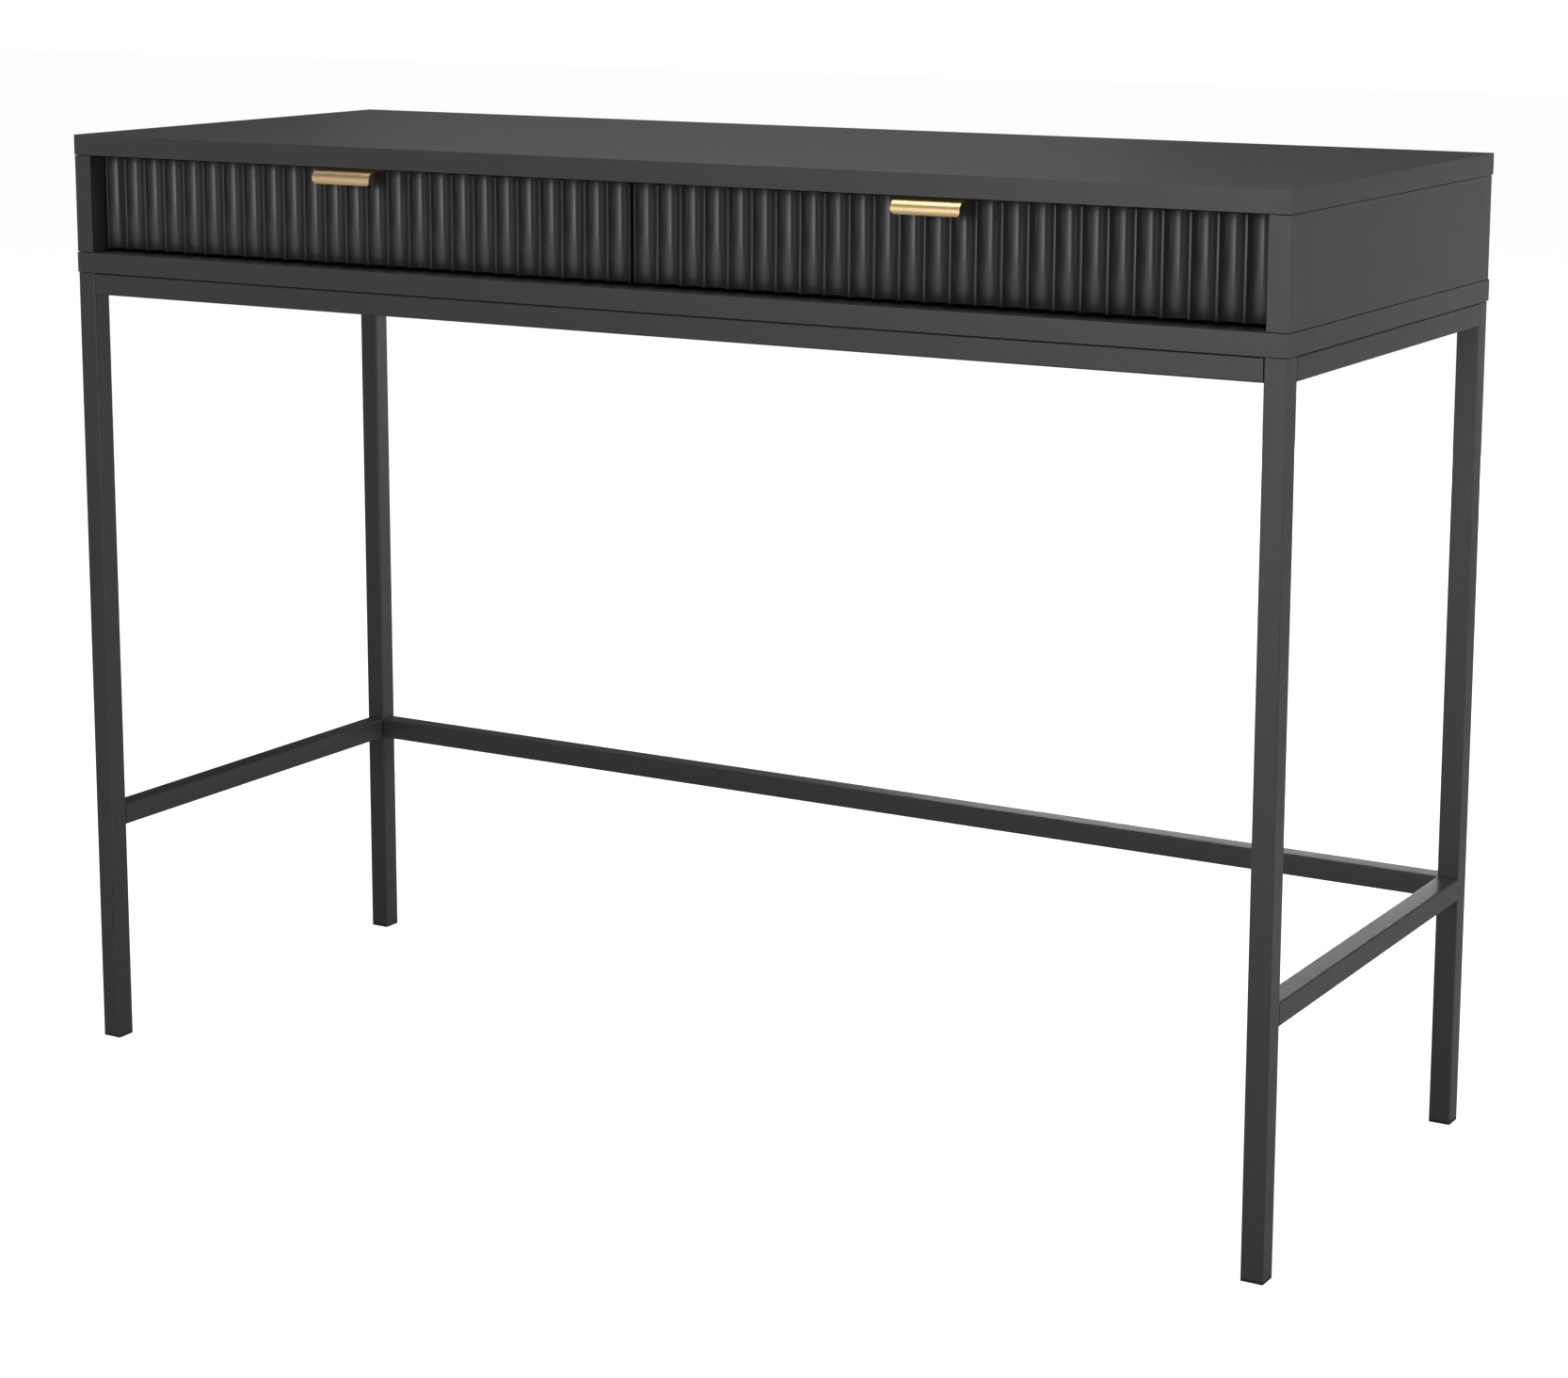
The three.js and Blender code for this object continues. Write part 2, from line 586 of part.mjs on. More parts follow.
// A folded channel, open at its lips. inward is the way from the board beside the drawer to the drawer.
function channel(boardX, inward, { web, tip, height }) {
  const x = (distance) => boardX + inward * distance;
  const half = height / 2;
  const innerWeb = web + Math.sign(tip - web) * SLIDE_SHEET;
  const outline = polygon([
    [-half, x(web)],
    [half, x(web)],
    [half, x(tip)],
    [half - SLIDE_SHEET, x(tip)],
    [half - SLIDE_SHEET, x(innerWeb)],
    [SLIDE_SHEET - half, x(innerWeb)],
    [SLIDE_SHEET - half, x(tip)],
    [-half, x(tip)],
  ]);
  return alongY(extrude(outline, SLIDE_LENGTH)).translate(0, FRONT_Y + SLIDE_START, SLIDE_Z);
}

// The cabinet and middle members open towards the drawer, and the drawer member opens back towards them.
function buildSlide(name, boardX, inward) {
  const slide = new THREE.Group();
  desk.add(slide);
  add(`${name}_cabinet_member`, channel(boardX, inward, CABINET_MEMBER), STEEL_FINISH, slide);
  add(`${name}_middle_member`, channel(boardX, inward, MIDDLE_MEMBER), STEEL_FINISH, slide);
  add(`${name}_drawer_member`, channel(boardX, inward, DRAWER_MEMBER), STEEL_FINISH, slide);
}

buildBox();
buildFrame();
buildDrawer('left_drawer', -1);
buildDrawer('right_drawer', 1);

export default desk;
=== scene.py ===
"""The looks of a writing desk with two fluted drawers, built round the frame that the CAD model gives.

Lengths are in metres in the row frame: +Z is up, the user sits at -Y, and the origin is on the floor
under the middle of the desk. Small sizes are written in millimetres and multiplied by MM, and the named
angles are in degrees.
"""
import json
import math

import bmesh
import bpy
from mathutils import Matrix, Vector


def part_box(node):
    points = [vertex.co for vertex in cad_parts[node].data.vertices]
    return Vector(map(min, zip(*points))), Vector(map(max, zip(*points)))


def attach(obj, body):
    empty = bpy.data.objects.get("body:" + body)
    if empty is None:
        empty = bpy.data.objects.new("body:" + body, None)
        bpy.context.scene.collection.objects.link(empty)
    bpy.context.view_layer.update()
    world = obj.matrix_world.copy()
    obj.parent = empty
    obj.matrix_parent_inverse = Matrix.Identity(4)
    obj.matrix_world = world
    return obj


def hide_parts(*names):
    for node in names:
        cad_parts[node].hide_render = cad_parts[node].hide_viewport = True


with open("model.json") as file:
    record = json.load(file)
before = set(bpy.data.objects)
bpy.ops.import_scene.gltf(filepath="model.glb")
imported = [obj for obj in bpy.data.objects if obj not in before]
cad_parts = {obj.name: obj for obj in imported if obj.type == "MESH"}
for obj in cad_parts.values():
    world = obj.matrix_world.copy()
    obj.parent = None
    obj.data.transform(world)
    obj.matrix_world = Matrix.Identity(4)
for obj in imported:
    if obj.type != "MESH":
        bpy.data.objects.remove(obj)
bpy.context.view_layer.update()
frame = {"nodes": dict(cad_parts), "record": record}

MM = 0.001

# ------------------------------------------------------------------------------- camera

CAMERA_PLACE = (1.3823, -2.3141, 0.9376)
CAMERA_YAW = 31.037
CAMERA_PITCH = 10.083
CAMERA_LENS = 80.113  # millimetres, on Blender's 36 mm sensor
CAMERA_SHIFT = (0.0247, -0.110)


def add_camera():
    data = bpy.data.cameras.new("camera")
    data.lens = CAMERA_LENS
    data.shift_x, data.shift_y = CAMERA_SHIFT
    data.clip_start = 0.05
    data.clip_end = 60.0
    camera = bpy.data.objects.new("camera", data)
    camera.location = CAMERA_PLACE
    camera.rotation_euler = (math.radians(90 - CAMERA_PITCH), 0.0, math.radians(CAMERA_YAW))
    bpy.context.collection.objects.link(camera)
    bpy.context.scene.camera = camera


# ------------------------------------------------------------------------------- materials

NOISE_RANGE = (0.3, 0.7)  # where nearly all of a noise texture's values lie


class Surface:
    """One material: its Principled shader, with short ways to drive it from procedural textures."""

    def __init__(self, name, colour, roughness, metallic=0.0, specular=0.5):
        self.material = bpy.data.materials.new(name)
        self.material.use_nodes = True
        self.nodes = self.material.node_tree.nodes
        self.links = self.material.node_tree.links
        self.shader = next(n for n in self.nodes if n.type == "BSDF_PRINCIPLED")
        self.shader.inputs["Base Color"].default_value = (*colour, 1.0)
        self.shader.inputs["Roughness"].default_value = roughness
        self.shader.inputs["Metallic"].default_value = metallic
        self.shader.inputs["Specular IOR Level"].default_value = specular
        self.place = self.nodes.new("ShaderNodeTexCoord")
        self.height = None

    def noise(self, scale, detail=2.0, roughness=0.5, stretch=(1.0, 1.0, 1.0)):
        """Noise in object coordinates. scale is in features per metre, times stretch along each axis."""
        mapping = self.nodes.new("ShaderNodeMapping")
        mapping.inputs["Scale"].default_value = stretch
        texture = self.nodes.new("ShaderNodeTexNoise")
        texture.inputs["Scale"].default_value = scale
        texture.inputs["Detail"].default_value = detail
        texture.inputs["Roughness"].default_value = roughness
        self.links.new(self.place.outputs["Object"], mapping.inputs["Vector"])
        self.links.new(mapping.outputs["Vector"], texture.inputs["Vector"])
        return texture.outputs["Fac"]

    def cells(self, scale):
        """Distance to the nearest of scattered points, scale of them per metre."""
        texture = self.nodes.new("ShaderNodeTexVoronoi")
        texture.inputs["Scale"].default_value = scale
        self.links.new(self.place.outputs["Object"], texture.inputs["Vector"])
        return texture.outputs["Distance"]

    def remap(self, value, low, high):
        """A number that goes from low to high as value goes through a noise's range."""
        node = self.nodes.new("ShaderNodeMapRange")
        node.inputs["From Min"].default_value, node.inputs["From Max"].default_value = NOISE_RANGE
        node.inputs["To Min"].default_value = low
        node.inputs["To Max"].default_value = high
        self.links.new(value, node.inputs["Value"])
        return node.outputs["Result"]

    def colour_between(self, value, dark, light, source=NOISE_RANGE):
        """The base colour goes from dark to light as value goes through source."""
        ramp = self.nodes.new("ShaderNodeValToRGB")
        first, last = ramp.color_ramp.elements
        first.position, last.position = source
        first.color, last.color = (*dark, 1.0), (*light, 1.0)
        self.links.new(value, ramp.inputs["Fac"])
        self.links.new(ramp.outputs["Color"], self.shader.inputs["Base Color"])

    def tint(self, value, strength):
        """Multiplies the colour already linked by 1 - strength to 1 + strength."""
        mix = self.nodes.new("ShaderNodeMix")
        mix.data_type = "RGBA"
        mix.blend_type = "MULTIPLY"
        mix.inputs["Factor"].default_value = 1.0
        present = self.shader.inputs["Base Color"].links[0].from_socket
        factor = self.remap(value, 1.0 - strength, 1.0 + strength)
        factor_colour = self.nodes.new("ShaderNodeCombineColor")
        for channel in ("Red", "Green", "Blue"):
            self.links.new(factor, factor_colour.inputs[channel])
        colours = [socket for socket in mix.inputs if socket.type == "RGBA"]
        self.links.new(present, colours[0])
        self.links.new(factor_colour.outputs["Color"], colours[1])
        result = next(socket for socket in mix.outputs if socket.type == "RGBA")
        self.links.new(result, self.shader.inputs["Base Color"])

    def roughness_between(self, value, low, high):
        """The roughness goes from low to high as value goes through a noise's range."""
        self.links.new(self.remap(value, low, high), self.shader.inputs["Roughness"])

    def bump(self, value, depth, strength=1.0):
        """Adds relief of that depth in metres on top of any relief already there."""
        node = self.nodes.new("ShaderNodeBump")
        node.inputs["Strength"].default_value = strength
        node.inputs["Distance"].default_value = depth
        self.links.new(value, node.inputs["Height"])
        if self.height is not None:
            self.links.new(self.height, node.inputs["Normal"])
        self.height = node.outputs["Normal"]
        self.links.new(self.height, self.shader.inputs["Normal"])


def grey(level, blue=1.0):
    """A grey in linear colour, with its blue part multiplied by blue."""
    return (level, level, level * blue)


def board_surface():
    """Matt graphite laminate: faint clouding, a fine pebbled texture and slightly uneven gloss."""
    s = Surface("graphite_laminate", grey(0.036), 0.42, specular=0.5)
    s.colour_between(s.noise(5, 3), grey(0.0354, 1.01), grey(0.0368, 1.01))
    s.tint(s.noise(1400, 2), 0.05)
    s.roughness_between(s.noise(40, 4), 0.41, 0.43)
    s.bump(s.noise(900, 2), 0.02 * MM, 0.2)
    return s.material


def front_surface():
    """Satin graphite paint on routed fibreboard, with a little orange peel."""
    s = Surface("graphite_satin_paint", grey(0.027), 0.3, specular=0.5)
    s.colour_between(s.noise(7, 3), grey(0.026, 1.01), grey(0.028, 1.01))
    s.tint(s.noise(1100, 2), 0.04)
    s.roughness_between(s.noise(60, 3), 0.28, 0.32)
    s.bump(s.noise(420, 2), 0.04 * MM, 0.3)
    return s.material


def frame_surface():
    """Graphite powder coat: the fine even grain that it bakes into."""
    s = Surface("graphite_powder_coat", grey(0.034), 0.42, specular=0.5)
    s.colour_between(s.noise(9, 3), grey(0.0332), grey(0.0348))
    s.tint(s.noise(1800, 1), 0.08)
    s.roughness_between(s.noise(80, 3), 0.4, 0.44)
    s.bump(s.noise(1100, 3), 0.04 * MM, 0.25)
    return s.material


def drawer_surface():
    """Grey melamine with a fine woven emboss."""
    s = Surface("grey_melamine", grey(0.15), 0.55, specular=0.4)
    s.colour_between(s.noise(260, 3, stretch=(1, 0.15, 1)), grey(0.135, 1.03), grey(0.165, 1.03))
    s.tint(s.noise(260, 3, stretch=(1, 1, 0.15)), 0.06)
    s.roughness_between(s.noise(50, 3), 0.5, 0.62)
    s.bump(s.noise(700, 2, stretch=(1, 0.1, 1)), 0.05 * MM, 0.4)
    s.bump(s.noise(700, 2, stretch=(1, 1, 0.1)), 0.05 * MM, 0.4)
    return s.material


def thin_panel_surface():
    """Lacquered hardboard: short fibres in every direction under a thin grey film."""
    s = Surface("grey_hardboard", grey(0.1), 0.6, specular=0.35)
    s.colour_between(s.noise(30, 5, 0.6), grey(0.092, 1.02), grey(0.112, 1.02))
    s.tint(s.noise(420, 5, 0.7, stretch=(1, 1, 0.25)), 0.12)
    s.roughness_between(s.noise(120, 4), 0.52, 0.7)
    s.bump(s.noise(500, 5, 0.7, stretch=(0.3, 1, 1)), 0.08 * MM, 0.45)
    return s.material


def brass_surface():
    """Satin brass, faintly brushed along the pull's length."""
    s = Surface("satin_brass", (0.93, 0.69, 0.37), 0.42, metallic=1.0)
    brushing = s.noise(6000, 2, 0.5, stretch=(0.02, 1, 1))
    s.colour_between(s.noise(60, 2), (0.92, 0.67, 0.35), (0.95, 0.71, 0.39))
    s.tint(brushing, 0.02)
    s.roughness_between(brushing, 0.4, 0.45)
    s.bump(brushing, 0.002 * MM, 0.2)
    return s.material


def steel_surface():
    """Zinc-plated steel: a faint crystalline mottle and lengthwise rolling marks."""
    s = Surface("zinc_plated_steel", (0.6, 0.61, 0.63), 0.32, metallic=1.0)
    mottle = s.cells(340)
    s.colour_between(mottle, (0.56, 0.57, 0.60), (0.66, 0.67, 0.68), (0.0, 1.0))
    rolling = s.noise(1500, 3, 0.6, stretch=(1, 0.01, 1))
    s.tint(rolling, 0.06)
    s.roughness_between(rolling, 0.26, 0.4)
    s.bump(rolling, 0.01 * MM, 0.5)
    return s.material


def black_screw_surface():
    """Black oxide on steel, with slightly uneven oiling."""
    s = Surface("black_oxide", grey(0.02), 0.4, metallic=0.8)
    s.colour_between(s.noise(500, 4), grey(0.016), grey(0.03))
    s.roughness_between(s.noise(900, 3), 0.32, 0.5)
    s.bump(s.noise(2000, 2), 0.01 * MM, 0.4)
    return s.material


def foot_surface():
    """Black moulded plastic with a spark-eroded texture."""
    s = Surface("black_moulded_plastic", grey(0.014), 0.55)
    s.colour_between(s.noise(60, 3), grey(0.012), grey(0.017))
    s.roughness_between(s.noise(300, 3), 0.48, 0.62)
    s.bump(s.noise(1600, 3), 0.04 * MM, 0.5)
    return s.material


SURFACES = {
    "board": board_surface(),
    "fluted_front": front_surface(),
    "frame_paint": frame_surface(),
    "drawer_board": drawer_surface(),
    "thin_panel": thin_panel_surface(),
    "brass": brass_surface(),
    "slide_steel": steel_surface(),
    "black_screw": black_screw_surface(),
    "foot_plastic": foot_surface(),
}

# ------------------------------------------------------------------------------- mesh helpers

BEVEL_SEGMENTS = 2
BEVEL_ANGLE = 35
SHARP_ANGLE = 40
FLAT_FACE_WEIGHT = 60
FILLET_SEGMENTS = 4
HOLE_SIDES = 20
LEAST_MITRE = 0.3  # an inset moves a corner by at most the distance divided by this


def piece_from(name, mesh, material):
    """A new object with one material, linked into the scene."""
    piece = bpy.data.objects.new(name, mesh)
    piece.data.materials.append(material)
    bpy.context.collection.objects.link(piece)
    return piece


def new_piece(name, bm, material):
    """A piece from a bmesh, with its faces turned outwards and shaded smooth."""
    bmesh.ops.recalc_face_normals(bm, faces=bm.faces)
    mesh = bpy.data.meshes.new(name)
    bm.to_mesh(mesh)
    bm.free()
    mesh.shade_smooth()
    return piece_from(name, mesh, material)


def apply_modifiers(piece):
    """Puts what the modifiers make into the piece's own mesh."""
    shown = piece.evaluated_get(bpy.context.evaluated_depsgraph_get())
    mesh = bpy.data.meshes.new_from_object(shown)
    piece.modifiers.clear()
    piece.data = mesh


def cut_away(piece, cutters):
    """Takes the cutters' shapes out of the piece, and removes the cutters."""
    for cutter in cutters:
        modifier = piece.modifiers.new("cut", "BOOLEAN")
        modifier.operation = "DIFFERENCE"
        modifier.solver = "EXACT"
        modifier.object = cutter
    apply_modifiers(piece)
    for cutter in cutters:
        bpy.data.objects.remove(cutter)


def soften(piece, width, angle=BEVEL_ANGLE):
    """Rounds a piece's sharp edges and keeps its flat faces flat in the shading."""
    bevel = piece.modifiers.new("rounded_edges", "BEVEL")
    bevel.width = width
    bevel.segments = BEVEL_SEGMENTS
    bevel.limit_method = "ANGLE"
    bevel.angle_limit = math.radians(angle)
    bevel.use_clamp_overlap = True
    normals = piece.modifiers.new("flat_faces", "WEIGHTED_NORMAL")
    normals.keep_sharp = False
    normals.weight = FLAT_FACE_WEIGHT


def box_cutter(low, high):
    """A box between two corners, to be cut out of a piece."""
    bm = bmesh.new()
    bmesh.ops.create_cube(bm, size=1.0)
    size = Vector(high) - Vector(low)
    middle = (Vector(high) + Vector(low)) / 2
    placing = Matrix.Translation(middle) @ Matrix.Diagonal((*size, 1.0))
    bmesh.ops.transform(bm, matrix=placing, verts=bm.verts)
    return new_piece("cutter", bm, SURFACES["board"])


def turned_mesh(profile, sides):
    """A bmesh turned about +Z from (radius, height) points. The first and last radius are 0."""
    bm = bmesh.new()
    rings = []
    for radius, height in profile:
        if radius == 0:
            rings.append([bm.verts.new((0, 0, height))])
            continue
        ring = []
        for side in range(sides):
            angle = 2 * math.pi * side / sides
            ring.append(bm.verts.new((radius * math.cos(angle), radius * math.sin(angle), height)))
        rings.append(ring)
    for lower, upper in zip(rings, rings[1:]):
        for side in range(sides):
            after = (side + 1) % sides
            corners = [
                lower[side % len(lower)],
                lower[after % len(lower)],
                upper[after % len(upper)],
                upper[side % len(upper)],
            ]
            bm.faces.new(list(dict.fromkeys(corners)))
    return bm


def turned(name, profile, sides, place, material):
    """A piece turned about the vertical through place."""
    bm = turned_mesh(profile, sides)
    bmesh.ops.translate(bm, vec=place, verts=bm.verts)
    return new_piece(name, bm, material)


def fillet(points, radii, closed=True):
    """A path whose corners are rounded: radii gives each corner's radius, and 0 leaves it sharp."""
    count = len(points)
    result = []
    for index, radius in enumerate(radii):
        here = Vector(points[index])
        is_end = not closed and index in (0, count - 1)
        if radius == 0 or is_end:
            result.append(tuple(here))
            continue
        to_before = (Vector(points[index - 1]) - here).normalized()
        to_after = (Vector(points[(index + 1) % count]) - here).normalized()
        half = to_before.angle(to_after) / 2
        reach = radius / math.tan(half)
        centre = here + (to_before + to_after).normalized() * radius / math.sin(half)
        start = here + to_before * reach - centre
        end = here + to_after * reach - centre
        turn = start.angle_signed(end)
        for step in range(FILLET_SEGMENTS + 1):
            arm = start.copy()
            arm.rotate(Matrix.Rotation(-turn * step / FILLET_SEGMENTS, 2))
            result.append(tuple(centre + arm))
    return result


def loft(rings):
    """A bmesh closed solid through rings of points that all have the same number of points."""
    bm = bmesh.new()
    loops = [[bm.verts.new(point) for point in ring] for ring in rings]
    count = len(loops[0])
    for lower, upper in zip(loops, loops[1:]):
        for index in range(count):
            after = (index + 1) % count
            bm.faces.new((lower[index], lower[after], upper[after], upper[index]))
    bm.faces.new(loops[0])
    bm.faces.new(loops[-1])
    return bm


def inset(outline, distance):
    """A closed counter-clockwise outline moved inwards by distance."""
    count = len(outline)
    moved = []
    for index in range(count):
        before, here, after = (Vector(outline[(index + step) % count]) for step in (-1, 0, 1))
        first = (here - before).normalized()
        second = (after - here).normalized()
        normal = Vector((-first.y - second.y, first.x + second.x)).normalized()
        scale = normal.dot(Vector((-first.y, first.x)))
        moved.append(tuple(here + normal * distance / max(scale, LEAST_MITRE)))
    return moved


# ------------------------------------------------------------------------------- drawer fronts

FLUTE_COUNT = 25
FLUTE_PITCH = 20 * MM
FLUTE_RADIUS = 10 * MM
FLUTE_LAND = 2 * MM
FLUTE_STEPS = 18
CREST_ROUNDING = 0.55 * MM
END_ROUNDING = 0.4 * MM
FRONT_THICKNESS = 18 * MM
FRONT_EDGE = 0.35 * MM
FRONT_EDGE_MIDDLE = 0.3 * FRONT_EDGE  # how far in and up the middle of the rounded edge is
FRONT_SHARP_ANGLE = 50
SLIDE_SPACE = 12.7 * MM
GROOVE_DEPTH = 5 * MM
GROOVE_PLAY = 0.15 * MM
DRAWER_BOTTOM_Z = (672 * MM, 675 * MM)


def fluted_outline(left, face):
    """The front's plan, counter-clockwise from above: flutes along the user's side and a flat back."""
    half_chord = (FLUTE_PITCH - FLUTE_LAND) / 2
    centre_y = face - math.sqrt(FLUTE_RADIUS**2 - half_chord**2)
    edge_angle = math.atan2(face - centre_y, half_chord)
    points = [(left, face)]
    radii = [END_ROUNDING]
    for flute in range(FLUTE_COUNT):
        centre_x = left + (flute + 0.5) * FLUTE_PITCH
        for step in range(FLUTE_STEPS + 1):
            angle = math.pi - edge_angle - (math.pi - 2 * edge_angle) * step / FLUTE_STEPS
            across = centre_x + FLUTE_RADIUS * math.cos(angle)
            points.append((across, centre_y + FLUTE_RADIUS * math.sin(angle)))
            radii.append(CREST_ROUNDING if step in (0, FLUTE_STEPS) else 0)
    right = left + FLUTE_COUNT * FLUTE_PITCH
    back = face + FRONT_THICKNESS
    points += [(right, face), (right, back), (left, back)]
    radii += [END_ROUNDING] * 3
    return fillet(points, radii)


def make_front(drawer, screw_places):
    """The fluted front, with a groove for the drawer's bottom and holes for the pull's screws."""
    low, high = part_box(f"{drawer}_front")
    outline = fluted_outline(low.x, low.y)
    quarter_round = [(FRONT_EDGE, 0.0), (FRONT_EDGE_MIDDLE, FRONT_EDGE_MIDDLE), (0.0, FRONT_EDGE)]
    levels = [(inwards, low.z + up) for inwards, up in quarter_round]
    levels += [(inwards, high.z - down) for inwards, down in reversed(quarter_round)]
    rings = [[(x, y, z) for x, y in inset(outline, inwards)] for inwards, z in levels]
    piece = new_piece(f"{drawer}_fluted_front", loft(rings), SURFACES["fluted_front"])

    bottom_low, bottom_high = DRAWER_BOTTOM_Z
    groove = box_cutter(
        (low.x + SLIDE_SPACE, high.y - GROOVE_DEPTH, bottom_low - GROOVE_PLAY),
        (high.x - SLIDE_SPACE, high.y + MM, bottom_high + GROOVE_PLAY),
    )
    cut_away(piece, [groove, *screw_holes(screw_places, HOLE_SIDES)])
    piece.data.set_sharp_from_angle(angle=math.radians(FRONT_SHARP_ANGLE))
    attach(piece, drawer)
    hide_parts(f"{drawer}_front")


# ------------------------------------------------------------------------------- pulls

# The bend is a quarter of an ellipse, and the lip follows the ellipse on by the curl.
PULL_SHEET = 1.2 * MM
PULL_DROP = 8.2 * MM
PULL_REACH = 12 * MM
PULL_CURL = 27.5
PULL_CORNER = 3.5 * MM
PULL_WAIST = 1.0 * MM
WAIST_EASING = 1.5
BEND_STEPS = 18
LIP_STEPS = 12
PULL_COLUMNS = 16
PULL_EDGE = 0.25 * MM
PULL_BEVEL_ANGLE = 50
PULL_SCREW_SPACING = 32 * MM
PULL_SCREW_FROM_LIP = 29.5 * MM

# The cross-head screws. SCREW_TOP is how far the head's top is above the floor.
SCREW_TOP = 733.15 * MM
SCREW_SIDES = 28
SCREW_PLAY = 0.15 * MM
SCREW_HEAD_RADIUS = 3.2 * MM
SCREW_HEAD_HEIGHT = 1.9 * MM
SCREW_SHANK_RADIUS = 1.5 * MM
SCREW_LENGTH = 15 * MM
SCREW_POINT = 2.1 * MM
SCREW_RIM = 0.2 * MM
SCREW_EDGE = 0.06 * MM
SCREW_BEVEL_ANGLE = 40
CROSS_REACH = 1.7 * MM
CROSS_WIDTH = 0.6 * MM
CROSS_DEPTH = 0.9 * MM


def screw_profile(grow=0.0):
    """A countersunk screw from its point up to its head, or a hole that is larger than it by grow."""
    profile = [
        (0, -SCREW_LENGTH - grow),
        (SCREW_SHANK_RADIUS + grow, SCREW_POINT - SCREW_LENGTH - grow),
        (SCREW_SHANK_RADIUS + grow, -SCREW_HEAD_HEIGHT - grow),
        (SCREW_HEAD_RADIUS + grow, -SCREW_RIM),
    ]
    if grow:
        return profile + [(SCREW_HEAD_RADIUS + grow, MM), (0, MM)]
    return profile + [(SCREW_HEAD_RADIUS, -SCREW_RIM / 3), (SCREW_HEAD_RADIUS - SCREW_RIM / 2, 0), (0, 0)]


def screw_holes(places, sides):
    """Cutters for the holes of the pull's screws."""
    profile = screw_profile(SCREW_PLAY)
    return [turned("cutter", profile, sides, place, SURFACES["board"]) for place in places]


def pull_rows(thinner, back):
    """(y, z) along one face of the pull, from the plate's back edge to the lip's tip.

    The bend's centre is at 0, 0. thinner is 0 on the outer face and the sheet's thickness on the inner one.
    """
    reach = PULL_REACH - thinner
    drop = PULL_DROP - thinner
    rows = [(back, drop), (back / 2, drop)]
    curl = math.radians(PULL_CURL)
    for step in range(BEND_STEPS + 1):
        angle = math.pi / 2 + math.pi / 2 * step / BEND_STEPS
        rows.append((reach * math.cos(angle), drop * math.sin(angle)))
    for step in range(1, LIP_STEPS + 1):
        angle = math.pi + curl * math.sin(math.pi / 2 * step / LIP_STEPS)
        rows.append((reach * math.cos(angle), drop * math.sin(angle)))
    return rows


def pull_half_width(y, z, tip_z, half):
    """Half the pull's width at y, z: less on the plate than on the lip, and round at the lip's corners."""
    width = half
    if z > 0:
        bent = math.atan2(-min(y, 0.0), z) / (math.pi / 2)
        width -= PULL_WAIST * (1 - bent) ** WAIST_EASING
    above = z - tip_z
    if above < PULL_CORNER:
        width += math.sqrt(max(PULL_CORNER**2 - (PULL_CORNER - above) ** 2, 0.0)) - PULL_CORNER
    return width


def pull_bmesh(half, back):
    """The bent plate as two lofted skins joined round their edge."""
    bm = bmesh.new()
    tip_z = -PULL_DROP * math.sin(math.radians(PULL_CURL))
    skins = []
    for thinner in (0.0, PULL_SHEET):
        grid = []
        for y, z in pull_rows(thinner, back):
            width = pull_half_width(y, z, tip_z, half)
            spread = [-1 + 2 * column / PULL_COLUMNS for column in range(PULL_COLUMNS + 1)]
            grid.append([bm.verts.new((width * u, y, z)) for u in spread])
        skins.append(grid)
        for upper, lower in zip(grid, grid[1:]):
            for column in range(PULL_COLUMNS):
                bm.faces.new((upper[column], upper[column + 1], lower[column + 1], lower[column]))
    outer, inner = skins
    for side in (0, PULL_COLUMNS):
        for row in range(len(outer) - 1):
            bm.faces.new((outer[row][side], outer[row + 1][side], inner[row + 1][side], inner[row][side]))
    for row in (0, len(outer) - 1):
        for column in range(PULL_COLUMNS):
            near, far = outer[row], inner[row]
            bm.faces.new((near[column], near[column + 1], far[column + 1], far[column]))
    return bm


def make_pull(drawer, screw_places):
    """The bent brass plate, with countersunk holes for its screws."""
    low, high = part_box(f"{drawer}_pull")
    centre = Vector(((low.x + high.x) / 2, low.y + PULL_REACH, high.z - PULL_DROP))
    bm = pull_bmesh((high.x - low.x) / 2, high.y - centre.y)
    bmesh.ops.translate(bm, vec=centre, verts=bm.verts)
    piece = new_piece(f"{drawer}_edge_pull", bm, SURFACES["brass"])
    cut_away(piece, screw_holes(screw_places, SCREW_SIDES))
    soften(piece, PULL_EDGE, PULL_BEVEL_ANGLE)
    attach(piece, drawer)
    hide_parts(f"{drawer}_pull")


def cross_cutters(place):
    """Two bars that cut a cross recess down into a screw's head."""
    x, y, z = place
    half = CROSS_WIDTH / 2
    floor = z - CROSS_DEPTH
    top = z + MM
    return [
        box_cutter((x - CROSS_REACH, y - half, floor), (x + CROSS_REACH, y + half, top)),
        box_cutter((x - half, y - CROSS_REACH, floor), (x + half, y + CROSS_REACH, top)),
    ]


def make_pull_screw(drawer, side, place):
    """A brass countersunk screw with a cross recess, through the pull into the front's top edge."""
    name = f"{drawer}_pull_{side}_screw"
    piece = turned(f"{name}_cross_head", screw_profile(), SCREW_SIDES, place, SURFACES["brass"])
    cut_away(piece, cross_cutters(place))
    soften(piece, SCREW_EDGE, SCREW_BEVEL_ANGLE)
    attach(piece, drawer)
    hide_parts(name)


# ------------------------------------------------------------------------------- frame screws

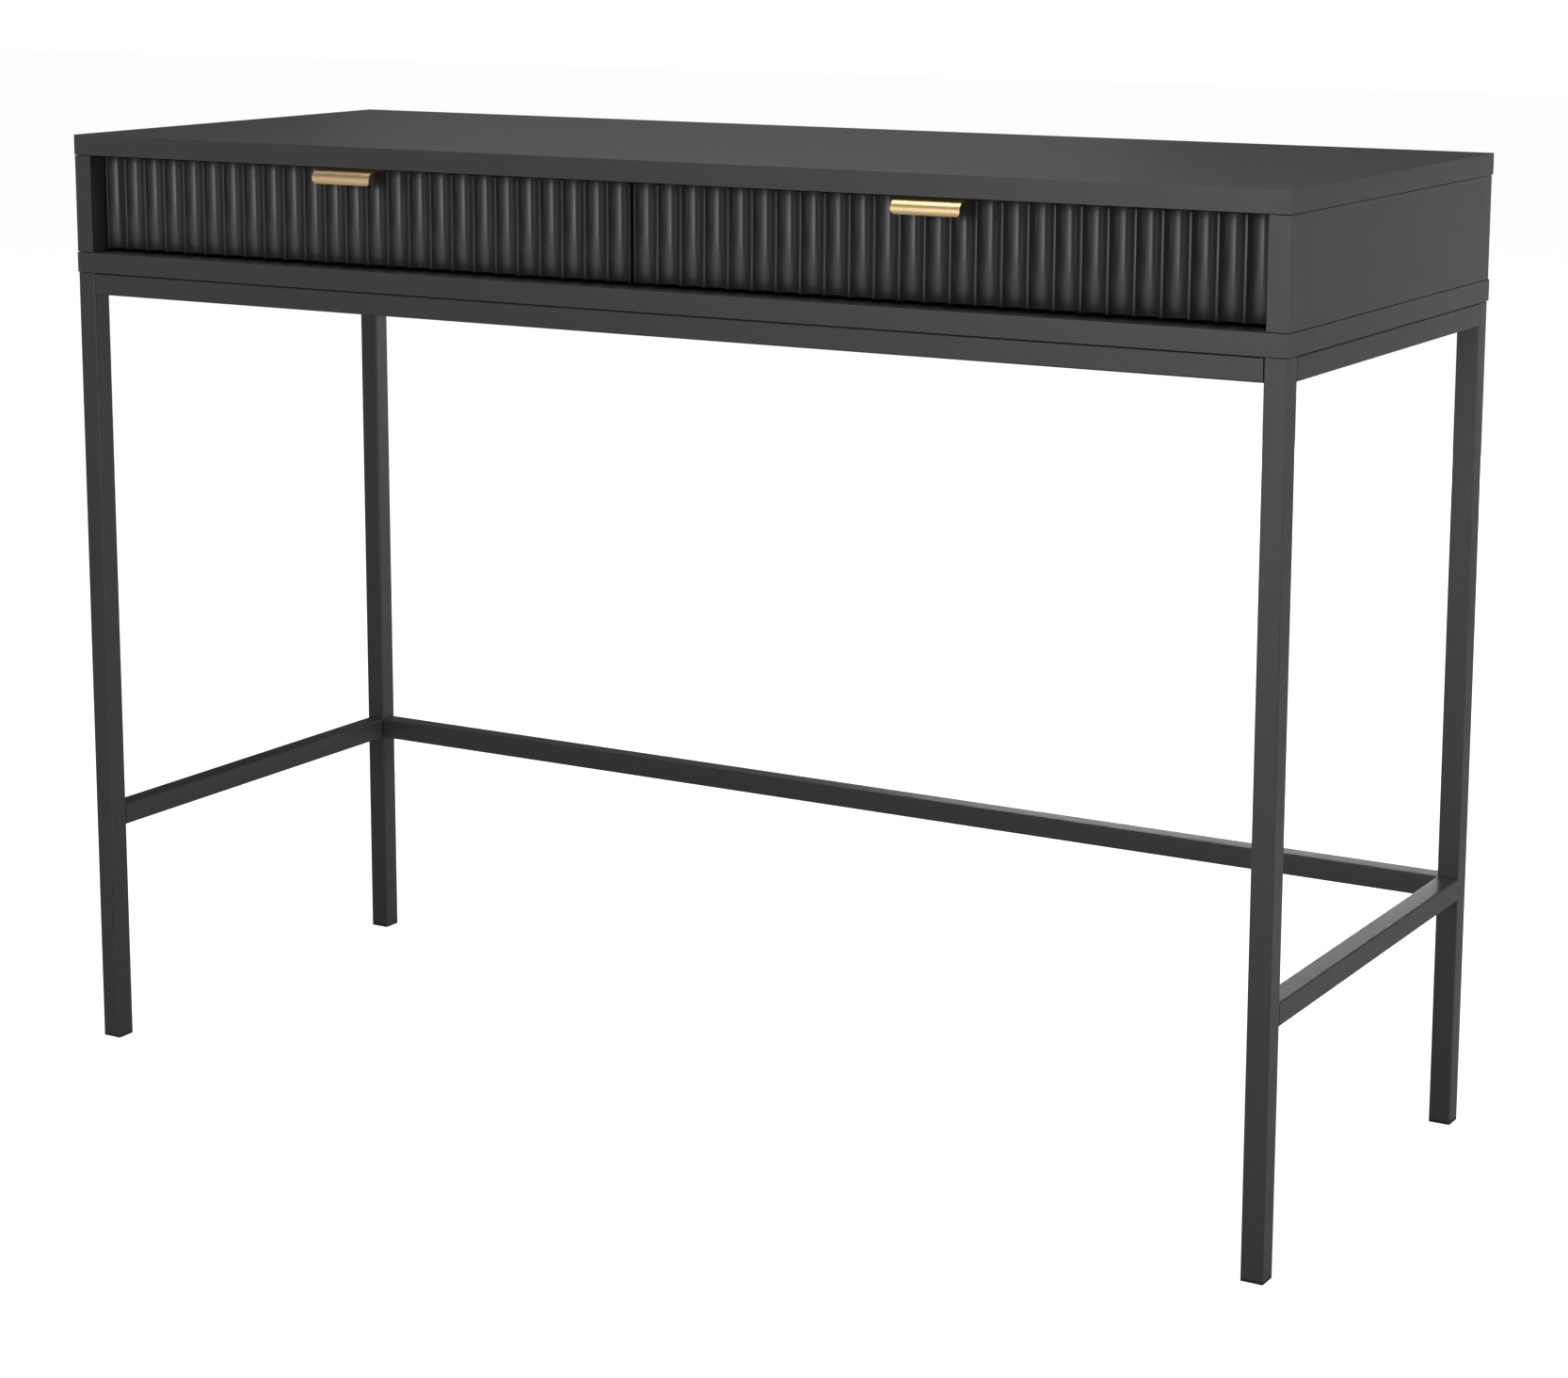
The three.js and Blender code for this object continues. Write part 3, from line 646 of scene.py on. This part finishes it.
TUBE_WALL = 1.2 * MM
SCREW_BEARING = -0.15 * MM  # where the head's upper face is, from the inside of the rail's top wall
FRAME_SCREW_SIDES = 32
SOCKET_SIDES = 6
SOCKET_CONE = 0.4  # the cone's height, as a part of the socket's radius
CROWN_ANGLES = (22, 36, 50, 62, 73, 82)  # from the middle of the head
CROWN_FULLNESS = 0.8


def hexagon_recess(radius, mouth_z, floor_z):
    """The profile of a cutter for a hexagon socket that opens downwards and ends in a shallow cone."""
    return [(0, mouth_z), (radius, mouth_z), (radius, floor_z), (0, floor_z + radius * SOCKET_CONE)]


def make_frame_screw(node, suffix, base_z, profile, socket):
    """A turned screw that points up, with a hexagon socket cut into its lower end."""
    low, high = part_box(node)
    place = ((low.x + high.x) / 2, (low.y + high.y) / 2, base_z)
    piece = turned(f"{node}_{suffix}", profile, FRAME_SCREW_SIDES, place, SURFACES["black_screw"])
    cut_away(piece, [turned("cutter", socket, SOCKET_SIDES, place, SURFACES["board"])])
    piece.data.set_sharp_from_angle(angle=math.radians(SHARP_ANGLE))
    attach(piece, "carcass")
    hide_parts(node)


def make_set_screw(rail, side):
    """A headless screw in the underside of a cross rail's end."""
    radius = 3 * MM
    length = 8 * MM
    recess = 0.2 * MM
    chamfer = 0.5 * MM
    socket_radius = 1.6 * MM
    socket_floor = 3 * MM
    profile = [
        (0, recess),
        (radius - chamfer, recess),
        (radius, recess + chamfer),
        (radius, length - chamfer),
        (radius - chamfer, length),
        (0, length),
    ]
    socket = hexagon_recess(socket_radius, -MM, socket_floor)
    make_frame_screw(f"{rail}_{side}_set_screw", "hex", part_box(rail)[0].z, profile, socket)


def make_box_screw(end, side):
    """A button-head screw from inside a top side rail up into the box."""
    head_radius = 5.2 * MM
    head_height = 3.2 * MM
    shank_radius = 2.5 * MM
    shank_top = 13.6 * MM
    socket_size = 1.7 * MM
    crown = []
    for degrees in CROWN_ANGLES:
        angle = math.radians(degrees)
        crown.append((head_radius * math.sin(angle), -head_height * math.cos(angle) ** CROWN_FULLNESS))
    profile = [(0, -head_height), *crown, (head_radius, SCREW_BEARING * 2), (head_radius, SCREW_BEARING)]
    profile += [(shank_radius, SCREW_BEARING), (shank_radius, shank_top - shank_radius / 2)]
    profile += [(shank_radius / 2, shank_top), (0, shank_top)]
    socket = hexagon_recess(socket_size, -head_height - MM, -head_height + socket_size)
    bearing_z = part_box(f"{side}_top_rail")[1].z - TUBE_WALL
    make_frame_screw(f"{end}_{side}_box_screw", "button_head", bearing_z, profile, socket)


def make_frame_screws():
    for side in ("left", "right"):
        for rail in ("front_rail", "rear_rail", "rear_stretcher"):
            make_set_screw(rail, side)
        for end in ("front", "back"):
            make_box_screw(end, side)


# ------------------------------------------------------------------------------- slides

# These are in millimetres, because a member is drawn in millimetres and then placed.
SLIDE_SHEET = 1.2
SLIDE_MEMBERS = {
    # how far the web and the lips' tips stand from the board beside the drawer, and half the height
    "cabinet": (0.3, 9.5, 17.5),
    "middle": (3.0, 10.8, 14.2),
    "drawer": (12.4, 5.6, 11.0),
}
LIP_LENGTH = 2.2
LIP_LEAN = 0.5
FOLD_RADII = (0, 1.5, 2.0, 2.0, 1.5, 0)

HOLE_RADIUS = 2.3 * MM
SLOT_STRETCH = 5 * MM
HOLE_CUTTER_REACH = 2 * MM
HOLES = (
    # how far along the member, as a part of its length, and how much longer than it is high
    (0.08, 0.0),
    (0.3, SLOT_STRETCH),
    (0.62, SLOT_STRETCH),
    (0.9, 0.0),
)


def thick_path(path, thickness):
    """A closed outline round an open path, thickness wide and centred on it."""
    left, right = [], []
    for index, point in enumerate(path):
        before = Vector(path[max(index - 1, 0)])
        after = Vector(path[min(index + 1, len(path) - 1)])
        along = (after - before).normalized()
        sideways = Vector((-along.y, along.x)) * thickness / 2
        left.append(tuple(Vector(point) + sideways))
        right.append(tuple(Vector(point) - sideways))
    return left + right[::-1]


def make_slide_member(drawer, side, member):
    """A rolled channel: rounded folds, lips that lean in over the balls, and holes in its web."""
    node = f"{drawer}_{side}_slide_{member}_member"
    low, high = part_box(node)
    web, tip, half = SLIDE_MEMBERS[member]
    opens = 1 if tip > web else -1
    web_line = web + opens * SLIDE_SHEET / 2
    lip_line = half - SLIDE_SHEET / 2
    corners = [
        (tip, lip_line - LIP_LEAN),
        (tip - opens * LIP_LENGTH, lip_line),
        (web_line, lip_line),
        (web_line, -lip_line),
        (tip - opens * LIP_LENGTH, -lip_line),
        (tip, LIP_LEAN - lip_line),
    ]
    outline = thick_path(fillet(corners, FOLD_RADII, closed=False), SLIDE_SHEET)

    inwards = 1 if side == "left" else -1
    board_x = low.x if inwards > 0 else high.x
    board_x -= inwards * min(web, tip) * MM
    middle_z = (low.z + high.z) / 2
    rings = []
    for y in (low.y, high.y):
        rings.append([(board_x + inwards * d * MM, y, middle_z + h * MM) for d, h in outline])
    piece = new_piece(f"{node}_rolled", loft(rings), SURFACES["slide_steel"])

    web_x = board_x + inwards * web_line * MM
    cutters = []
    for part, stretch in HOLES:
        y = low.y + (high.y - low.y) * part
        cutters.append(hole_cutter(web_x, y, middle_z, stretch))
    cut_away(piece, cutters)
    piece.data.set_sharp_from_angle(angle=math.radians(SHARP_ANGLE))
    body = {"cabinet": "carcass", "middle": f"{drawer}_{side}_middle", "drawer": drawer}[member]
    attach(piece, body)
    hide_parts(node)


def hole_cutter(x, y, z, stretch):
    """A round hole through a web that faces X, or a slot if stretch is more than 0."""
    rings = []
    for end in (-HOLE_CUTTER_REACH, HOLE_CUTTER_REACH):
        ring = []
        for side in range(HOLE_SIDES):
            angle = 2 * math.pi * side / HOLE_SIDES
            shift = stretch / 2 * (1 if math.cos(angle) > 0 else -1)
            along = HOLE_RADIUS * math.cos(angle) + shift
            ring.append((x + end, y + along, z + HOLE_RADIUS * math.sin(angle)))
        rings.append(ring)
    return new_piece("cutter", loft(rings), SURFACES["board"])


# ------------------------------------------------------------------------------- CAD nodes that stay

WELD_DISTANCE = 0.01 * MM
EDGE_ROUNDING = {
    "board": 0.25 * MM,
    "frame_paint": 0.12 * MM,
    "drawer_board": 0.4 * MM,
    "thin_panel": 0.2 * MM,
    "foot_plastic": 0.3 * MM,
}


def finish_cad_nodes():
    """Gives every CAD node that stays its material and its rounded edges."""
    slots = {part["node"]: part["material_slot"] for part in frame["record"]["subparts"]}
    for name, piece in frame["nodes"].items():
        slot = slots[name]
        piece.data.materials.clear()
        piece.data.materials.append(SURFACES[slot])
        if slot in EDGE_ROUNDING:
            weld = piece.modifiers.new("one_skin", "WELD")
            weld.merge_threshold = WELD_DISTANCE
            soften(piece, EDGE_ROUNDING[slot])


# ------------------------------------------------------------------------------- stage and light

FLOOR_GREY = 0.35
FLOOR_GLOW = 0.98
FLOOR_REACH = 14.0
FLOOR_MOTTLE = 0.02

SOFTBOXES = [
    # name, place, what it points at, width and height, watts
    ("key", (0.2, -4.2, 1.03), (0.1, 0.0, 0.9), (3.2, 1.96), 28),
    ("key_left_half", (-0.7, -4.2, 1.03), (-0.7, 0.0, 0.9), (1.0, 1.96), 27),
    ("high_key", (0.4, -3.8, 2.2), (0.2, 0.0, 0.6), (1.4, 0.8), 6),
    ("overhead", (0.0, 0.0, 3.0), (0.0, 0.0, 0.7), (2.2, 2.2), 88),
    ("right", (3.2, 0.3, 1.2), (0.5, 0.0, 0.5), (1.4, 1.4), 67),
    ("front_right", (2.6, -2.8, 1.5), (0.3, 0.0, 0.5), (1.2, 1.4), 5),
    ("near_left", (-1.5, -1.2, 0.9), (-0.45, -0.2, 0.7), (0.5, 1.2), 1.5),
    ("wide_bounce", (0.2, -2.9, 0.02), (0.2, -2.9, 2.0), (3.2, 2.6), 28),
    ("middle_bounce", (0.25, -2.9, 0.02), (0.25, -2.9, 2.0), (1.4, 2.6), 11),
    ("back_left", (-2.2, 3.6, 1.4), (0.0, 0.0, 0.7), (1.6, 1.4), 1.5),
    ("low_back", (-0.4, 3.4, 0.36), (-0.1, 0.0, 0.45), (2.4, 0.6), 60),
    ("low_left", (-3.4, 0.8, 0.36), (-0.5, 0.0, 0.45), (2.0, 0.6), 30),
]


def for_camera_only(nodes, links, strength):
    """Turns a glow on where the camera looks straight at it, and off where it would light the desk."""
    path = nodes.new("ShaderNodeLightPath")
    links.new(path.outputs["Is Camera Ray"], strength)


def add_floor():
    """A plain pale floor. Its glow stands for the backlight that makes a studio floor look white."""
    mesh = bpy.data.meshes.new("floor")
    corners = [(x * FLOOR_REACH, y * FLOOR_REACH, 0) for x, y in ((-1, -1), (1, -1), (1, 1), (-1, 1))]
    mesh.from_pydata(corners, [], [(0, 1, 2, 3)])
    surface = Surface("pale_floor", grey(FLOOR_GREY), 0.9, specular=0.0)
    dark, light = grey(FLOOR_GREY * (1 - FLOOR_MOTTLE)), grey(FLOOR_GREY * (1 + FLOOR_MOTTLE))
    surface.colour_between(surface.noise(3, 3), dark, light)
    surface.shader.inputs["Emission Color"].default_value = (*grey(FLOOR_GLOW), 1.0)
    for_camera_only(surface.nodes, surface.links, surface.shader.inputs["Emission Strength"])
    piece_from("floor", mesh, surface.material)


def add_world():
    """White behind the desk. All the light on it comes from the softboxes."""
    world = bpy.data.worlds.new("studio")
    world.use_nodes = True
    tree = world.node_tree
    background = next(n for n in tree.nodes if n.type == "BACKGROUND")
    background.inputs["Color"].default_value = (1.0, 1.0, 1.0, 1.0)
    for_camera_only(tree.nodes, tree.links, background.inputs["Strength"])
    bpy.context.scene.world = world


def add_softbox(name, place, target, size, power):
    """A rectangular light at place that faces target and doesn't show in the picture."""
    data = bpy.data.lights.new(name, "AREA")
    data.shape = "RECTANGLE"
    data.size, data.size_y = size
    data.energy = power
    light = bpy.data.objects.new(name, data)
    light.location = place
    aim = Vector(target) - Vector(place)
    light.rotation_euler = aim.to_track_quat("-Z", "Y").to_euler()
    light.visible_camera = False
    bpy.context.collection.objects.link(light)


# ------------------------------------------------------------------------------- build

add_camera()
finish_cad_nodes()
for drawer in ("left_drawer", "right_drawer"):
    low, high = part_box(f"{drawer}_pull")
    middle_x = (low.x + high.x) / 2
    screw_y = low.y + PULL_SCREW_FROM_LIP
    places = [(middle_x + side * PULL_SCREW_SPACING / 2, screw_y, SCREW_TOP) for side in (-1, 1)]
    make_front(drawer, places)
    make_pull(drawer, places)
    make_pull_screw(drawer, "left", places[0])
    make_pull_screw(drawer, "right", places[1])
    for side in ("left", "right"):
        for member in SLIDE_MEMBERS:
            make_slide_member(drawer, side, member)
make_frame_screws()

add_floor()
add_world()
for softbox in SOFTBOXES:
    add_softbox(*softbox)
bpy.context.scene.view_settings.view_transform = "Standard"
